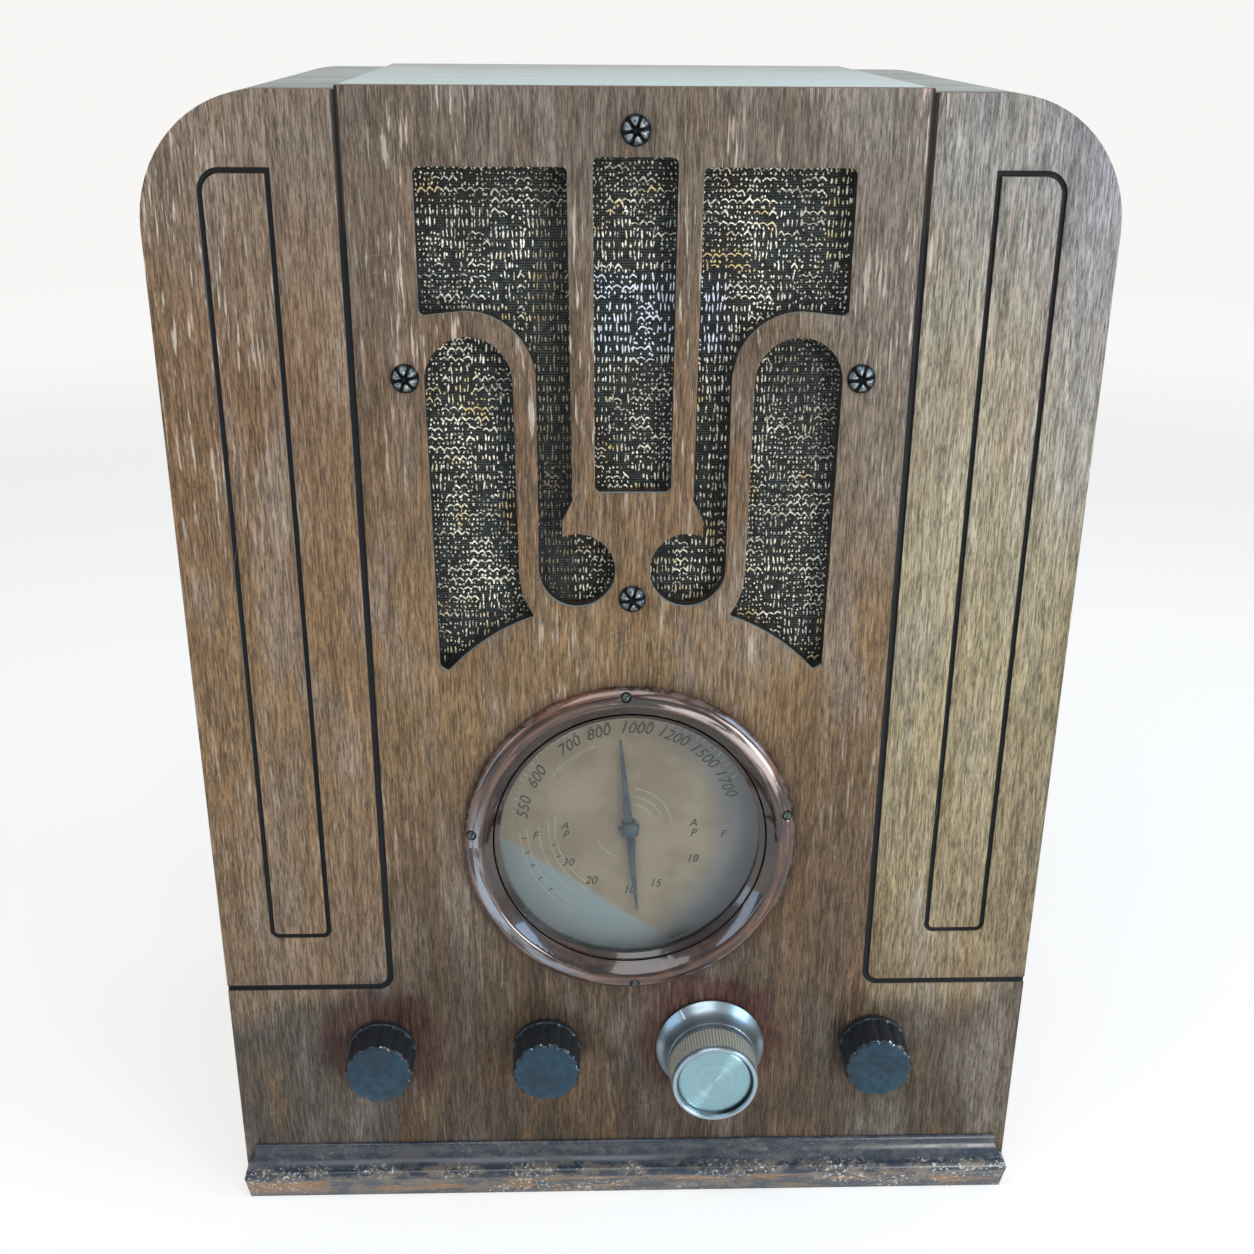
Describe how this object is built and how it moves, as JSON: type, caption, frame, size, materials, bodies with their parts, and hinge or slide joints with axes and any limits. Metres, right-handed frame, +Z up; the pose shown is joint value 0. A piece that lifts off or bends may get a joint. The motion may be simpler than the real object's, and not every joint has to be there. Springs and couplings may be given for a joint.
{
  "type": "tabletop radio",
  "caption": "Upright wooden tabletop radio with rounded shoulders, cut-out speaker grille, round glazed dial and a row of front knobs over a dark cove base.",
  "frame": {"origin": "middle of the floor under the whole object, from the tuning knob's face to the cabinet's back edge", "axes": "+X to the right seen from the front, -Y towards the listener, +Z up"},
  "size_m": [0.381, 0.289, 0.507],
  "materials": {
    "veneer": "worn satin lacquer",
    "bent_ply": "worn satin lacquer",
    "plain_wood": "raw",
    "dark_trim": "worn black lacquer",
    "cloth": "woven",
    "blackened": "blackened and worn",
    "bronze": "dark bronze lacquer",
    "glass": "clear",
    "dial_print": "printed",
    "pointer": "blued",
    "black_moulded": "glossy",
    "aluminium": "turned",
    "plated_steel": "plated",
    "black_enamel": "stoved enamel",
    "cone_paper": "pressed felt paper",
    "winding": "waxed wrap",
    "bakelite": "moulded",
    "tube_glass": "clear",
    "brass": "plain",
    "rubber": "matt",
    "twine": "waxed"
  },
  "bodies": {
    "cabinet": {"front_panel": "veneer", "left_side": "bent_ply", "right_side": "bent_ply", "top_board": "veneer", "bottom_board": "plain_wood", "glue_blocks": "plain_wood", "base_moulding": "dark_trim", "chassis_runners": "plain_wood", "speaker_baffle": "plain_wood", "grille_cloth": "cloth", "speaker_bolts": "blackened", "speaker_nuts": "plated_steel", "speaker_gasket": "cone_paper", "speaker_basket": "black_enamel", "speaker_surround": "cone_paper", "speaker_spider": "cone_paper", "speaker_yoke": "plated_steel", "field_coil": "winding", "output_transformer": "black_enamel", "dial_bezel": "bronze", "dial_glass": "glass", "bezel_screws": "blackened", "dial_card": "dial_print", "dial_backplate": "plated_steel", "lamp_sockets": "plated_steel", "dial_lamps": "tube_glass", "condenser_bracket": "plated_steel", "condenser_frame": "plated_steel", "condenser_stators": "aluminium", "drive_cord": "twine", "tuning_bushing": "brass", "volume_control": "bakelite", "tone_control": "bakelite", "band_switch": "bakelite", "control_nuts": "brass", "chassis_pan": "plated_steel", "chassis_bolts": "plated_steel", "rubber_mounts": "rubber", "power_transformer": "black_enamel", "tube_sockets": "bakelite", "tube_bases": "bakelite", "tube_envelopes": "tube_glass", "tube_shields": "aluminium", "coil_cans": "aluminium", "electrolytic_cans": "aluminium", "cord_grommet": "rubber"},
    "tuning_gear": {"condenser_rotor": "aluminium", "drive_drum": "plated_steel", "dial_pointer": "pointer"},
    "tuning_control": {"tuning_knob": "aluminium", "tuning_knob_cap": "aluminium", "tuning_shaft": "brass"},
    "volume": {"volume_knob": "black_moulded", "volume_shaft": "plated_steel"},
    "tone": {"tone_knob": "black_moulded", "tone_shaft": "plated_steel"},
    "band": {"band_knob": "black_moulded", "band_shaft": "plated_steel"},
    "cone": {"speaker_cone": "cone_paper", "voice_coil": "brass"}
  },
  "joints": [
    {"name": "dial_turn", "type": "hinge", "parent": "cabinet", "child": "tuning_gear", "pos_m": [0, -0.11, 0.1924], "axis": [0, 1, 0], "range_deg": [-84.6, 95.4]},
    {"name": "tuning_turn", "type": "hinge", "parent": "cabinet", "child": "tuning_control", "pos_m": [0.0397, -0.11, 0.082], "axis": [0, 1, 0], "range_deg": [-804.2, 906.8]},
    {"name": "volume_turn", "type": "hinge", "parent": "cabinet", "child": "volume", "pos_m": [-0.119, -0.11, 0.082], "axis": [0, 1, 0], "range_deg": [-150, 150]},
    {"name": "tone_turn", "type": "hinge", "parent": "cabinet", "child": "tone", "pos_m": [-0.0397, -0.11, 0.082], "axis": [0, 1, 0], "range_deg": [-150, 150]},
    {"name": "band_turn", "type": "hinge", "parent": "cabinet", "child": "band", "pos_m": [0.119, -0.11, 0.082], "axis": [0, 1, 0], "range_deg": [-30, 30]},
    {"name": "cone_travel", "type": "slide", "parent": "cabinet", "child": "cone", "axis": [0, -1, 0], "range_m": [-0.001, 0.001], "stiffness_N_per_m": 1500}
  ],
  "couplings": [
    {"joint": "tuning_turn", "follows": "dial_turn", "ratio": 9.5}
  ]
}
